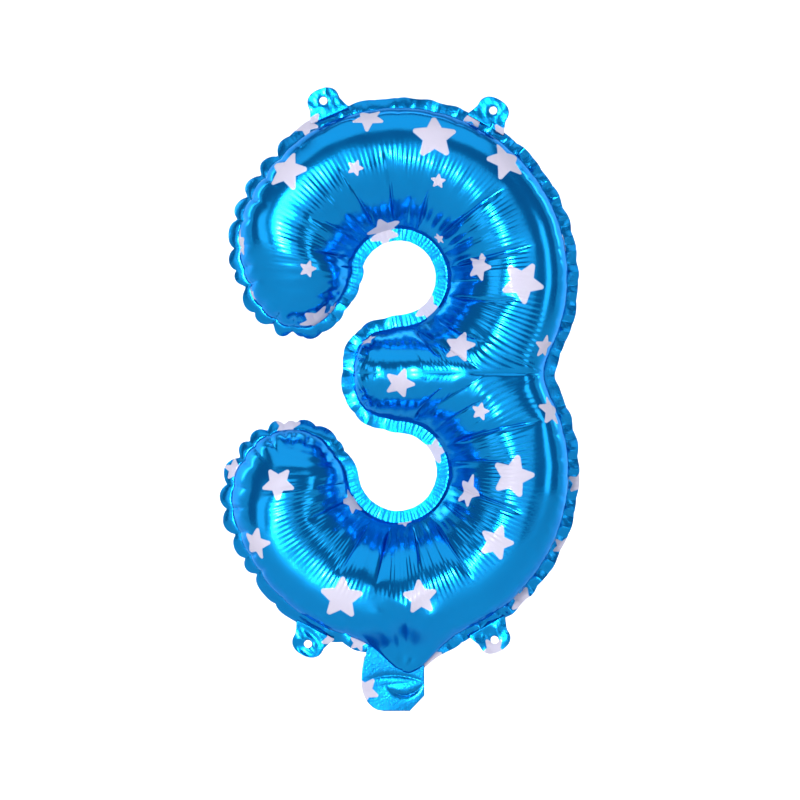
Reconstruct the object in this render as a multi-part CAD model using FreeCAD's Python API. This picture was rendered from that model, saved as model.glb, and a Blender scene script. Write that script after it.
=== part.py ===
import FreeCAD, Part
import math
import os

# Foil number balloon, digit three, filled and standing upright. Millimetres.
# +Z is up, the front faces -Y, and the welded seam lies in the plane y = 0.
# The origin is the centre of the balloon's bounding box.

V = FreeCAD.Vector
FRONT = V(0, -1, 0)
UP = V(0, 0, 1)

# Envelope: two bowls of round tube, joined on the right, with a tapered arm between them.
TUBE_RADIUS = 33.25
UPPER_CENTRE = V(-0.8, 0, 67.2)
UPPER_BEND = 60.0
LOWER_CENTRE = V(-1.3, 0, -39.5)
LOWER_BEND = 61.0
JOIN_ANGLE = 50.0
JOIN_LENGTH = 34.0

# The bowls' free ends on the left: the angle where the bend stops, and the long rounded end.
UPPER_END_ANGLE = 158.0
UPPER_END_LENGTH = 51.5
LOWER_END_ANGLE = 195.0
LOWER_END_LENGTH = 40.5

# The middle arm, from its root between the bowls to its blunt tip.
ARM_ROOT = V(37.5, 0, 14.3)
ARM_TIP = V(-7.0, 0, 14.3)
ARM_ROOT_RADIUS = 32.0
ARM_TIP_RADIUS = 24.5
ARM_TIP_LENGTH = 19.5

# Film and welded margin.
SKIN = 0.3
MARGIN_WIDTH = 6.5
MARGIN_THICKNESS = 2 * SKIN
MARGIN_RADIUS_UPPER = UPPER_BEND + TUBE_RADIUS + MARGIN_WIDTH
MARGIN_RADIUS_LOWER = LOWER_BEND + TUBE_RADIUS + MARGIN_WIDTH

# Hanging tabs: node name, bowl centre, edge radius and direction of the tab from that centre.
TABS = [
    ("tab_top_left", UPPER_CENTRE, MARGIN_RADIUS_UPPER, 113.0),
    ("tab_top_right", UPPER_CENTRE, MARGIN_RADIUS_UPPER, 60.5),
    ("tab_bottom_left", LOWER_CENTRE, MARGIN_RADIUS_LOWER, -117.5),
    ("tab_bottom_right", LOWER_CENTRE, MARGIN_RADIUS_LOWER, -60.0),
]
TAB_ROOT_INSET = 1.4
TAB_ROOT_HALF = 13.0
TAB_TIP_RADIUS = 6.6
TAB_HOLE_RADIUS = 2.0
TAB_HOLE_OUT = 7.4
TAB_SIDE_LEAN = 30.0
FOLD_GAP = 0.4
TAB_SIDE_GAP = 0.5

# Filling tail: two foil layers with the valve's two films between them.
TAIL_X = -3.9
TAIL_HALF = 17.3
TAIL_FOLD_Z = -139.2
TAIL_BOTTOM_Z = -171.2
TAIL_CORNER = 12.0
TAIL_HALF_THICKNESS = 0.75
TAIL_INSIDE = TAIL_HALF_THICKNESS - SKIN
TAIL_FOLD_PLAY = 0.35
TAIL_FOLD_GAP = TAIL_HALF_THICKNESS + TAIL_FOLD_PLAY
SIDE_WELD_WIDTH = 4.0
SIDE_WELD_BOTTOM_Z = -161.0

# Self-closing valve: two films, welded in the neck and free inside the envelope.
VALVE_HALF = 12.0
VALVE_SLOT_HALF = 12.3
VALVE_FILM = 0.3
VALVE_PARTING = TAIL_INSIDE - VALVE_FILM
VALVE_TOP_Z = -79.0
VALVE_FLAP_Z = -131.2
VALVE_FLAP_FILM = 0.2
VALVE_NECK_TOP_Z = VALVE_FLAP_Z - FOLD_GAP
VALVE_TAIL_GAP = 0.8
VALVE_TAIL_TOP_Z = TAIL_FOLD_Z - VALVE_TAIL_GAP
VALVE_TAIL_BOTTOM_Z = -166.0
NECK_TOP_Z = -131.9

# Sizes of cutting shapes, all larger than what they cut.
REACH = 400.0
CUT_OUTWARDS = 20.0
CUT_HALF = 2.0
CUT_THICKNESS = 2 * CUT_HALF
CUT_OVERLAP = 1.0
SEAM_TOLERANCE = 0.001


def polar(centre, radius, angle):
    """Point at an angle about a bowl's centre, in the seam plane."""
    turn = math.radians(angle)
    return centre + V(radius * math.cos(turn), 0, radius * math.sin(turn))


def block(x0, x1, y0, y1, z0, z1):
    """Box between two corners."""
    return Part.makeBox(x1 - x0, y1 - y0, z1 - z0, V(x0, y0, z0))


def bend(centre, radius, tube, start, end):
    """Curved length of round tube between two angles about a centre."""
    tangent = polar(V(0, 0, 0), 1, start + 90)
    circle = Part.makeCircle(tube, polar(centre, radius, start), tangent)
    return Part.Face(Part.Wire(circle)).revolve(centre, FRONT, end - start)


def elbow(centre, tube, start, end):
    """Outer half of a tube's end face, swung about its own centre to meet the next length."""
    outward = polar(V(0, 0, 0), 1, start) * tube
    arc = Part.Arc(centre + FRONT * tube, centre + outward, centre - FRONT * tube).toShape()
    chord = Part.makeLine(centre - FRONT * tube, centre + FRONT * tube)
    return Part.Face(Part.Wire([arc, chord])).revolve(centre, FRONT, end - start)


def dome(centre, direction, radius, length):
    """Half of an ellipsoid that closes a tube of the given radius."""
    side = centre - FRONT * radius
    crown = centre + direction * length
    ends = [side, crown] if radius > length else [crown, side]
    quarter = Part.ArcOfEllipse(Part.Ellipse(ends[0], ends[1], centre), 0, math.pi / 2).toShape()
    spokes = [Part.makeLine(ends[1], centre), Part.makeLine(centre, ends[0])]
    return Part.Face(Part.Wire([quarter] + spokes)).revolve(centre, direction, 360)


def cone(start, end, start_radius, end_radius):
    """Tapered tube between two points."""
    run = end - start
    return Part.makeCone(start_radius, end_radius, run.Length, start, run)


def tube_lengths(inset):
    """Every length of the gas-filled tube, its surface moved inwards by inset."""
    tube = TUBE_RADIUS - inset
    upper_join = polar(UPPER_CENTRE, UPPER_BEND, -JOIN_ANGLE)
    lower_join = polar(LOWER_CENTRE, LOWER_BEND, JOIN_ANGLE)
    upper_stop = polar(UPPER_CENTRE, UPPER_BEND, UPPER_END_ANGLE)
    lower_stop = polar(LOWER_CENTRE, LOWER_BEND, LOWER_END_ANGLE)
    return [
        bend(UPPER_CENTRE, UPPER_BEND, tube, -JOIN_ANGLE, UPPER_END_ANGLE),
        bend(LOWER_CENTRE, LOWER_BEND, tube, JOIN_ANGLE, LOWER_END_ANGLE - 360),
        dome(upper_join, polar(V(0, 0, 0), 1, -JOIN_ANGLE - 90), tube, JOIN_LENGTH - inset),
        dome(lower_join, polar(V(0, 0, 0), 1, JOIN_ANGLE + 90), tube, JOIN_LENGTH - inset),
        elbow(upper_stop, tube, UPPER_END_ANGLE, 180),
        elbow(lower_stop, tube, LOWER_END_ANGLE, 180),
        dome(upper_stop, -UP, tube, UPPER_END_LENGTH - inset),
        dome(lower_stop, UP, tube, LOWER_END_LENGTH - inset),
        cone(ARM_ROOT, ARM_TIP, ARM_ROOT_RADIUS - inset, ARM_TIP_RADIUS - inset),
        dome(ARM_TIP, V(-1, 0, 0), ARM_TIP_RADIUS - inset, ARM_TIP_LENGTH - inset),
    ]


def join(shapes):
    """Fuse a list of shapes one after another."""
    whole = shapes[0]
    for shape in shapes[1:]:
        whole = whole.fuse(shape)
    return whole


def front_lengths(inset):
    """The front half of every tube length."""
    front = block(-REACH, REACH, -REACH, 0, -REACH, REACH)
    return [length.common(front) for length in tube_lengths(inset)]


def seam_prism(inset, thickness):
    """The area inside the seam, moved inwards by inset and given a thickness about the seam plane."""
    prisms = []
    for half in front_lengths(inset):
        for face in half.Faces:
            if face.BoundBox.YMin > -SEAM_TOLERANCE:
                face.translate(FRONT * (-thickness / 2))
                prisms.append(face.extrude(FRONT * thickness))
    return join(prisms)


def tab_frame(centre, edge_radius, angle):
    """Fold point of a tab, with the outward direction and the direction along the fold."""
    out = polar(V(0, 0, 0), 1, angle)
    along = polar(V(0, 0, 0), 1, angle + 90)
    return centre + out * (edge_radius - TAB_ROOT_INSET), out, along


def placed_block(origin, out, along, box_out, box_along, thickness):
    """Flat plate in the seam plane, from ranges along two directions."""
    corners = [
        origin + out * box_out[0] + along * box_along[0],
        origin + out * box_out[1] + along * box_along[0],
        origin + out * box_out[1] + along * box_along[1],
        origin + out * box_out[0] + along * box_along[1],
    ]
    return plate(Part.makePolygon(corners + corners[:1]), thickness)


def plate(wire, thickness):
    """Extrude a flat outline equally to both sides of the seam plane."""
    face = Part.Face(wire)
    face.translate(FRONT * (-thickness / 2))
    return face.extrude(FRONT * thickness)


def tab(centre, edge_radius, angle):
    """Punched tab: wide at its fold, rounded about its hole, its root rounded about the fold."""
    fold, out, along = tab_frame(centre, edge_radius, angle)
    hole = fold + out * TAB_HOLE_OUT
    lean = math.radians(TAB_SIDE_LEAN)
    side = (along * math.cos(lean) + out * math.sin(lean)) * TAB_TIP_RADIUS
    other = (along * -math.cos(lean) + out * math.sin(lean)) * TAB_TIP_RADIUS
    right = fold + along * TAB_ROOT_HALF
    left = fold - along * TAB_ROOT_HALF
    tip = Part.Arc(hole + side, hole + out * TAB_TIP_RADIUS, hole + other).toShape()
    outline = Part.Wire([
        Part.makeLine(right, hole + side),
        tip,
        Part.makeLine(hole + other, left),
        Part.makeLine(left, right),
    ])
    root = Part.makeCylinder(MARGIN_THICKNESS / 2, 2 * TAB_ROOT_HALF, left, along)
    punch = Part.makeCylinder(TAB_HOLE_RADIUS, 2 * MARGIN_THICKNESS, hole + FRONT * MARGIN_THICKNESS, -FRONT)
    return plate(outline, MARGIN_THICKNESS).fuse(root).removeSplitter().cut(punch)


def neck():
    """Where the margin opens round the valve: the same stack as the tail, welded to the margin."""
    return block(TAIL_X - TAIL_HALF, TAIL_X + TAIL_HALF, -TAIL_HALF_THICKNESS, TAIL_HALF_THICKNESS,
                 TAIL_FOLD_Z + TAIL_FOLD_GAP, NECK_TOP_Z)


def valve_slot():
    """The flat passage that the valve's films go through, from the tail into the envelope."""
    return block(TAIL_X - VALVE_SLOT_HALF, TAIL_X + VALVE_SLOT_HALF, -TAIL_INSIDE, TAIL_INSIDE,
                 TAIL_FOLD_Z, NECK_TOP_Z + CUT_OVERLAP)


def front_skin():
    """Front panel of the skin, open at the valve."""
    return join(front_lengths(0)).cut(join(front_lengths(SKIN))).cut(valve_slot())


def perimeter_seam():
    """Welded margin of both films all the way round, cut back at each tab and at the tail."""
    seam = seam_prism(-MARGIN_WIDTH, MARGIN_THICKNESS).cut(seam_prism(0, 2 * MARGIN_THICKNESS))
    for _, centre, edge_radius, angle in TABS:
        fold, out, along = tab_frame(centre, edge_radius, angle)
        reach_in = MARGIN_THICKNESS / 2 + FOLD_GAP
        reach_side = TAB_ROOT_HALF + TAB_SIDE_GAP
        across = (-reach_in, CUT_OUTWARDS)
        sideways = (-reach_side, reach_side)
        seam = seam.cut(placed_block(fold, out, along, across, sideways, CUT_THICKNESS))
    gap_half = TAIL_HALF + TAB_SIDE_GAP
    below = block(TAIL_X - gap_half, TAIL_X + gap_half, -CUT_HALF, CUT_HALF,
                  TAIL_BOTTOM_Z, TAIL_FOLD_Z + TAIL_FOLD_GAP)
    outer_neck = neck().cut(seam_prism(0, 4 * TAIL_HALF_THICKNESS))
    return seam.cut(below).fuse(outer_neck).removeSplitter().cut(valve_slot())


def tail_outline():
    """Flat outline of the tail: square at its fold, rounded at its two lower corners."""
    left = TAIL_X - TAIL_HALF
    right = TAIL_X + TAIL_HALF
    side_z = TAIL_BOTTOM_Z + TAIL_CORNER
    slant = TAIL_CORNER * math.sqrt(0.5)
    left_mid = V(left + TAIL_CORNER - slant, 0, side_z - slant)
    right_mid = V(right - TAIL_CORNER + slant, 0, side_z - slant)
    return Part.Wire([
        Part.makeLine(V(right, 0, TAIL_FOLD_Z), V(left, 0, TAIL_FOLD_Z)),
        Part.makeLine(V(left, 0, TAIL_FOLD_Z), V(left, 0, side_z)),
        Part.Arc(V(left, 0, side_z), left_mid, V(left + TAIL_CORNER, 0, TAIL_BOTTOM_Z)).toShape(),
        Part.makeLine(V(left + TAIL_CORNER, 0, TAIL_BOTTOM_Z), V(right - TAIL_CORNER, 0, TAIL_BOTTOM_Z)),
        Part.Arc(V(right - TAIL_CORNER, 0, TAIL_BOTTOM_Z), right_mid, V(right, 0, side_z)).toShape(),
        Part.makeLine(V(right, 0, side_z), V(right, 0, TAIL_FOLD_Z)),
    ])


def tail_layer(y0):
    """One foil layer of the tail, from y0 backwards."""
    face = Part.Face(tail_outline())
    face.translate(V(0, y0, 0))
    return face.extrude(V(0, SKIN, 0))


def tail_side_welds():
    """The two long edges where the tail's layers are welded to each other."""
    welds = []
    for x0 in (TAIL_X - TAIL_HALF, TAIL_X + TAIL_HALF - SIDE_WELD_WIDTH):
        weld = block(x0, x0 + SIDE_WELD_WIDTH, -TAIL_INSIDE, TAIL_INSIDE,
                     SIDE_WELD_BOTTOM_Z, VALVE_TAIL_TOP_Z)
        welds.append(weld.common(plate(tail_outline(), CUT_THICKNESS)))
    return Part.makeCompound(welds)


def valve_film(y0, thickness, z0, z1):
    """Straight strip of clear valve film."""
    return block(TAIL_X - VALVE_HALF, TAIL_X + VALVE_HALF, y0, y0 + thickness, z0, z1)


def valve_flap():
    """Free length of the front valve film, its root rounded about the line where it parts."""
    half = VALVE_FLAP_FILM / 2
    middle = -VALVE_PARTING - half
    strip = valve_film(middle - half, VALVE_FLAP_FILM, VALVE_FLAP_Z, VALVE_TOP_Z)
    root = Part.makeCylinder(half, 2 * VALVE_HALF, V(TAIL_X - VALVE_HALF, middle, VALVE_FLAP_Z), V(1, 0, 0))
    return strip.fuse(root).removeSplitter()


def save(name, shape):
    """Write one sub-part and say what it holds."""
    shape.exportStep("parts/" + name + ".step")
    print(name, "valid" if shape.isValid() else "NOT VALID", len(shape.Solids), "solids", round(shape.Volume, 1))


os.makedirs("parts", exist_ok=True)
front_panel = front_skin()
save("front_panel", front_panel)
save("back_panel", front_panel.mirror(V(0, 0, 0), FRONT))
save("perimeter_seam", perimeter_seam())
for name, centre, edge_radius, angle in TABS:
    save(name, tab(centre, edge_radius, angle))
save("tail_front_layer", tail_layer(-TAIL_HALF_THICKNESS))
save("tail_back_layer", tail_layer(TAIL_INSIDE))
save("tail_side_welds", tail_side_welds())
save("tail_valve_front_film", valve_film(-TAIL_INSIDE, VALVE_FILM, VALVE_TAIL_BOTTOM_Z, VALVE_TAIL_TOP_Z))
save("tail_valve_back_film", valve_film(VALVE_PARTING, VALVE_FILM, VALVE_TAIL_BOTTOM_Z, VALVE_TAIL_TOP_Z))
save("valve_neck_film", valve_film(-TAIL_INSIDE, VALVE_FILM, TAIL_FOLD_Z + TAIL_FOLD_GAP, VALVE_NECK_TOP_Z))
save("valve_back_film", valve_film(VALVE_PARTING, VALVE_FILM, TAIL_FOLD_Z + TAIL_FOLD_GAP, VALVE_TOP_Z))
save("valve_front_film", valve_flap())
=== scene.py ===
import math
from functools import partial

import bpy
import numpy as np
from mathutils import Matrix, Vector
from mathutils.kdtree import KDTree


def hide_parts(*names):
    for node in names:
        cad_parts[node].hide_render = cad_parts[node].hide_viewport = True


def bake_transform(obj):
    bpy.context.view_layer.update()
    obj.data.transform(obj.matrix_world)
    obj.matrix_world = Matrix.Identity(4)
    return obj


# Foil number balloon, digit three. Shapes are worked out in millimetres in the seam plane (x, z)
# and turned into metres when a mesh is made. The front panel bulges towards -Y.
MM = 0.001
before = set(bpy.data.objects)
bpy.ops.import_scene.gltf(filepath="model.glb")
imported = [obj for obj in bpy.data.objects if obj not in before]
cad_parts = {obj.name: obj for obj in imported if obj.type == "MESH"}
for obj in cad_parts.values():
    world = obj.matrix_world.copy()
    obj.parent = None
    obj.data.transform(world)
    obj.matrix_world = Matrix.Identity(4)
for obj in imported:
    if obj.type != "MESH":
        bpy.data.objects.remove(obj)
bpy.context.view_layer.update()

# ---- the digit's outline
# Two bowls bent round their centres, each with a free end on the left, and an arm between them.
TUBE = 33.25
UPPER = np.array([-0.8, 67.2])
UPPER_BEND = 60.0
LOWER = np.array([-1.3, -39.5])
LOWER_BEND = 61.0
UPPER_END_ANGLE = 158.0
UPPER_END_LENGTH = 51.5
LOWER_END_ANGLE = 195.0
LOWER_END_LENGTH = 40.5
ARM_Z = 14.3
ARM_TIP_X = -26.3
ARM_HALF = 24.3
ARM_BLUNT = 21.0
WAIST = np.array([77.0, 14.6])
UPPER_HOLE = UPPER_BEND - TUBE
UPPER_RIM = UPPER_BEND + TUBE
LOWER_HOLE = LOWER_BEND - TUBE
LOWER_RIM = LOWER_BEND + TUBE
OUTLINE_STEP = 0.5
OUTLINE_SOFT = 2.6
WAIST_SOFT = 7.0
WAIST_REACH = 17.0

# The point that reaches down over the tail.
LOBE_X = 4.0
LOBE_LEFT = 15.0
LOBE_RIGHT = 17.0
LOBE_DROP = 17.0


def polar(centre, radius, angle):
    """Point at an angle in degrees, counted from +X towards +Z."""
    turn = np.radians(angle)
    return centre + radius * np.stack([np.cos(turn), np.sin(turn)], axis=-1)


def arc(centre, radius, start, end):
    return polar(centre, radius, np.linspace(start, end, 160))


def oval(centre, half_x, half_z, start, end, power=2.0):
    """Part of an ellipse, or of a squarer superellipse."""
    turn = np.radians(np.linspace(start, end, 160))
    cos, sin = np.cos(turn), np.sin(turn)
    x = np.sign(cos) * np.abs(cos) ** (2 / power)
    z = np.sign(sin) * np.abs(sin) ** (2 / power)
    return centre + np.stack([half_x * x, half_z * z], axis=-1)


def lengths(points):
    """Length of a line up to each of its points."""
    steps = np.linalg.norm(np.diff(points, axis=0), axis=1)
    return np.concatenate([[0.0], np.cumsum(steps)])


def resample(points, distances):
    """Points of a line at given lengths along it."""
    along = lengths(points)
    return np.stack([np.interp(distances, along, points[:, k]) for k in (0, 1)], axis=-1)


def smooth_closed(points, sigma):
    """Gaussian smoothing of evenly spaced points on a closed line."""
    count = len(points)
    freq = np.fft.fftfreq(count, OUTLINE_STEP)
    keep = np.exp(-2 * (np.pi * freq * sigma) ** 2)
    columns = [np.fft.ifft(np.fft.fft(column) * keep).real for column in points.T]
    return np.stack(columns, axis=-1)


def make_outline():
    """Closed seam line, counted from the arm's tip over the upper bowl to the lower bowl and back."""
    upper_end = polar(UPPER, UPPER_BEND, UPPER_END_ANGLE)
    lower_end = polar(LOWER, LOWER_BEND, LOWER_END_ANGLE)
    arm = np.array([ARM_TIP_X + ARM_BLUNT, ARM_Z])
    pieces = [
        oval(arm, ARM_BLUNT, ARM_HALF, 180, 90, 2.7),
        arc(UPPER, UPPER_HOLE, -97, 164),
        oval(upper_end, TUBE, UPPER_END_LENGTH, -18, -175),
        arc(UPPER, UPPER_RIM, 160, -33.6),
        arc(LOWER, LOWER_RIM, 34.2, -168),
        oval(lower_end, TUBE, LOWER_END_LENGTH, 175, 18),
        arc(LOWER, LOWER_HOLE, -173, 97),
        oval(arm, ARM_BLUNT, ARM_HALF, -90, -180, 2.7),
    ]
    rough = np.concatenate(pieces)
    total = lengths(rough)[-1]
    count = int(total / OUTLINE_STEP)
    even = resample(rough, np.linspace(0, total, count, endpoint=False))
    even = smooth_closed(even, OUTLINE_SOFT)
    near_waist = np.exp(-(np.linalg.norm(even - WAIST, axis=1) / WAIST_REACH) ** 4)[:, None]
    even = even + (smooth_closed(even, WAIST_SOFT) - even) * near_waist
    side = np.where(even[:, 0] < LOBE_X, LOBE_LEFT, LOBE_RIGHT)
    at_tail = (even[:, 1] < LOWER[1] - 40) * np.exp(-((even[:, 0] - LOBE_X) / side) ** 2)
    even[:, 1] -= LOBE_DROP * at_tail
    return even


outline = make_outline()
OUTLINE_COUNT = len(outline)
SEAM_LENGTH = lengths(np.vstack([outline, outline[:1]]))[-1]
SEAM_UNIT = SEAM_LENGTH / OUTLINE_COUNT


def nearest(point):
    """Number of the outline point nearest to a point."""
    return int(np.argmin(np.linalg.norm(outline - np.asarray(point), axis=1)))


def outline_normals(sigma=2.5):
    """Outward directions in the seam plane."""
    soft = smooth_closed(outline, sigma)
    along = np.roll(soft, -1, axis=0) - np.roll(soft, 1, axis=0)
    along /= np.linalg.norm(along, axis=1)[:, None]
    return np.stack([-along[:, 1], along[:, 0]], axis=-1)


normals_out = outline_normals()

# ---- the filled section
FULL_HEIGHT = 31.0
SHOULDER = 3.0


def foil_section(samples=400):
    """Section of a filled foil ring: its curvature grows with the distance from the ring's axis.

    The crest's radius is found by halving, so that the inner and the outer end come out level.
    The outer side is then replaced by a fuller shoulder. Returns arc share, chord share and height.
    """
    low, high = UPPER_HOLE + 10, UPPER_RIM - 10
    for _ in range(60):
        crest = (low + high) / 2
        reach = UPPER_RIM ** 2 - crest ** 2
        start = -math.asin(min((crest ** 2 - UPPER_HOLE ** 2) / reach, 1.0))
        slope = np.linspace(start, math.pi / 2, samples)
        radius = np.sqrt(crest ** 2 + reach * np.sin(slope))
        height = np.sin(slope) / radius
        if height.sum() > 0:
            low = crest
        else:
            high = crest
    step = reach / 2 * (slope[1] - slope[0])
    rise = np.cumsum(-step * np.sin(slope) / radius)
    inner = slope < 0
    tall = (rise - rise[0])[inner]
    span = UPPER_RIM - UPPER_HOLE
    share = (radius[inner] - UPPER_HOLE) / span
    turn = np.linspace(0, math.pi / 2, samples)[1:]
    beyond = np.sin(turn) ** (2 / SHOULDER)
    shoulder = np.cos(turn) ** (2 / SHOULDER)
    share = np.concatenate([share, share[-1] + (1 - share[-1]) * beyond])
    tall = np.concatenate([tall / tall[-1], shoulder])
    walk = np.hypot(np.diff(share) * span, np.diff(tall) * FULL_HEIGHT)
    walk = np.concatenate([[0.0], np.cumsum(walk)])
    return walk / walk[-1], share, tall


SECTION = foil_section()
SECTION_CREST = SECTION[0][np.argmax(SECTION[2])]


def section(t, roundness):
    """Share of the chord and of the height at arc share t, from a foil ring's section to a circle's."""
    across = np.interp(t, SECTION[0], SECTION[1])
    height = np.interp(t, SECTION[0], SECTION[2])
    crest = SECTION_CREST + (0.5 - SECTION_CREST) * roundness
    bend = np.where(t < crest, 0.5 * t / crest, 0.5 + 0.5 * (t - crest) / (1 - crest))
    round_across = (1 - np.cos(np.pi * bend)) / 2
    round_height = np.sin(np.pi * bend)
    return across + (round_across - across) * roundness, height + (round_height - height) * roundness


# ---- ribs: chords across the tube
RIB_STEP = 0.48
ROWS = 68
KEY_SAMPLES = 4000
KEY_SOFT = 90


def smooth_line(values, sigma):
    """Gaussian smoothing that keeps both ends where they are."""
    reach = int(3 * sigma)
    kernel = np.exp(-0.5 * (np.arange(-reach, reach + 1) / sigma) ** 2)
    kernel /= kernel.sum()
    before = 2 * values[0] - values[reach:0:-1]
    after = 2 * values[-1] - values[-2:-reach - 2:-1]
    return np.convolve(np.concatenate([before, values, after]), kernel, mode="valid")


def path_between(start, end, step):
    """Outline points from one index to another, walking by step."""
    indices = np.arange(0, (end - start) * step % OUTLINE_COUNT + 1) * step + start
    return outline[indices % OUTLINE_COUNT]


def key_distance(path, point):
    """Length along a path to its point nearest to a given point."""
    return lengths(path)[np.argmin(np.linalg.norm(path - np.asarray(point), axis=1))]


def smoothstep(low, high, value):
    """0 at low, 1 at high and smooth between them. low may be the larger of the two."""
    t = np.clip((value - low) / (high - low), 0, 1)
    return t * t * (3 - 2 * t)


def build_strip(end_index, step, inner_keys, outer_keys):
    """Ribs of one half of the digit: inner ends, outer ends, way past the waist and travel along the tube."""
    tip = outline[TIP_INDEX]
    waist = outline[WAIST_INDEX]
    inner = path_between(end_index, TIP_INDEX, -step)
    outer = np.concatenate([path_between(end_index, WAIST_INDEX, step), np.linspace(waist, tip, 300)[1:]])
    inner_at = [0.0] + [key_distance(inner, p) for p in inner_keys] + [lengths(inner)[-1]]
    outer_at = [0.0] + [key_distance(outer, p) for p in outer_keys] + [lengths(outer)[-1]]
    dense = np.linspace(0, len(inner_at) - 1, KEY_SAMPLES)
    steps = np.arange(len(inner_at))
    inner_s = smooth_line(np.interp(dense, steps, inner_at), KEY_SOFT)
    outer_s = smooth_line(np.interp(dense, steps, outer_at), KEY_SOFT)
    middle = (resample(inner, inner_s) + resample(outer, outer_s)) / 2
    travel = lengths(middle)
    even = np.linspace(0, travel[-1], int(travel[-1] / RIB_STEP))
    inner_s = np.interp(even, travel, inner_s)
    outer_s = np.interp(even, travel, outer_s)
    waist_s = key_distance(outer, waist)
    return {
        "inner": resample(inner, inner_s),
        "outer": resample(outer, outer_s),
        "past_waist": outer_s - waist_s,
        "travel": even,
    }


JOIN_RUN = 32.0
JOIN_POWER = 2.6
ARM_HEIGHT = 25.5
ARM_END_POWER = 2.5


def glue_height(x):
    """Height of the skin above the line from the waist to the arm's tip."""
    rise = np.clip((WAIST[0] - x) / JOIN_RUN, 0, 1)
    valley = (1 - (1 - rise) ** JOIN_POWER) ** (1 / JOIN_POWER)
    fall = 1 - (1 - ARM_HEIGHT / FULL_HEIGHT) * smoothstep(42, -2, x)
    reach = np.clip((ARM_TIP_X + ARM_BLUNT - x) / ARM_BLUNT, 0, 1)
    close = (1 - reach ** ARM_END_POWER) ** (1 / ARM_END_POWER)
    return FULL_HEIGHT * valley * fall * close


def lay_grid(strip):
    """Positions (rib, row) of the smooth front skin, before any creases."""
    inner, outer = strip["inner"], strip["outer"]
    chord = np.linalg.norm(outer - inner, axis=1)
    past = strip["past_waist"]
    full = FULL_HEIGHT * np.clip(chord / (2 * TUBE), 0, 1.0)
    glue = glue_height(outer[:, 0])
    to_arm = smoothstep(-18, 6, past)
    height = np.where(past > 0, np.maximum(glue, FULL_HEIGHT * (past < JOIN_RUN)), full)
    height = np.where(past < 0, full + (FULL_HEIGHT - full) * to_arm, height)
    end_share = np.where(past > 0, glue / np.maximum(height, 1e-6), 0.0)
    end_share = np.where(past > JOIN_RUN, 1.0, end_share)
    near_end = 1 - smoothstep(25, 60, strip["travel"])
    near_tip = smoothstep(55, 100, past)
    roundness = np.clip(near_end + near_tip, 0, 1)
    grid = np.zeros((len(chord), ROWS + 1, 3))
    rows = np.linspace(0, 1, ROWS + 1)
    fine = np.linspace(0, 1, 600)
    for i in range(len(chord)):
        across, tall = section(fine, roundness[i])
        crest = int(np.argmax(tall))
        stop = np.interp(-end_share[i], -tall[crest:], fine[crest:])
        t = rows * stop
        share = np.interp(t, fine, across) / np.interp(stop, fine, across)
        flat = inner[i] + (outer[i] - inner[i]) * share[:, None]
        grid[i, :, 0] = flat[:, 0]
        grid[i, :, 1] = -height[i] * np.interp(t, fine, tall)
        grid[i, :, 2] = flat[:, 1]
    return grid


TIP_INDEX = nearest((ARM_TIP_X, ARM_Z))
WAIST_INDEX = nearest(WAIST)
UPPER_INDEX = nearest(polar(UPPER, UPPER_BEND, UPPER_END_ANGLE) - [0, UPPER_END_LENGTH])
LOWER_INDEX = nearest(polar(LOWER, LOWER_BEND, LOWER_END_ANGLE) + [0, LOWER_END_LENGTH])


def end_point(centre, bend, angle, length, turn):
    """Point on the rounded end of a bowl's free arm."""
    middle = polar(centre, bend, angle)
    return middle + [TUBE * math.cos(math.radians(turn)), length * math.sin(math.radians(turn))]


def strip_keys(centre, bend, end_angle, length, sign):
    """Matching points along the inner and the outer line of one bowl, from its free end to the arm."""
    inner, outer = [], []
    for turn in (60, 35):
        inner.append(end_point(centre, bend, end_angle, length, -sign * turn))
        outer.append(end_point(centre, bend, end_angle, length, -sign * (180 - turn)))
    bowl = end_angle - 12 if sign > 0 else end_angle - 360 + 12
    for angle in np.linspace(bowl, -sign * 18, 6):
        inner.append(polar(centre, bend - TUBE, angle))
        outer.append(polar(centre, bend + TUBE, angle))
    for angle, x in ((-50, WAIST[0]), (-72, 54), (-92, 26)):
        inner.append(polar(centre, bend - TUBE, sign * angle))
        outer.append((x, ARM_Z))
    for x, half, glue in ((-7, ARM_HALF, 2), (-20, 18.5, -12)):
        inner.append((x, ARM_Z + sign * half))
        outer.append((glue, ARM_Z))
    return inner, outer


upper_keys = strip_keys(UPPER, UPPER_BEND, UPPER_END_ANGLE, UPPER_END_LENGTH, 1)
lower_keys = strip_keys(LOWER, LOWER_BEND, LOWER_END_ANGLE, LOWER_END_LENGTH, -1)
upper_strip = build_strip(UPPER_INDEX, 1, *upper_keys)
lower_strip = build_strip(LOWER_INDEX, -1, *lower_keys)

# ---- creases and wrinkles
rng = np.random.default_rng(33)


def pinch_run(start, end, spacing, pull, groove, reach, width, spread=0.35):
    """Pinches in the weld from one outline point to another: place, pull, groove, reach and width in mm."""
    first, last = nearest(start) * SEAM_UNIT, nearest(end) * SEAM_UNIT
    run = (last - first) % SEAM_LENGTH
    count = max(int(round(run / spacing)), 1)
    rows = []
    for k in range(count):
        place = first + (k + 0.5 + spread * rng.uniform(-1, 1)) * run / count
        size = rng.uniform(0.6, 1.3, 4)
        rows.append((place % SEAM_LENGTH, pull * size[0], groove * size[1], reach * size[2], width * size[3]))
    return rows


def on_upper(angle, radius=UPPER_RIM):
    return polar(UPPER, radius, angle)


def on_lower(angle, radius=LOWER_RIM):
    return polar(LOWER, radius, angle)


UPPER_TIP = outline[UPPER_INDEX]
LOWER_TIP = outline[LOWER_INDEX]
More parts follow.
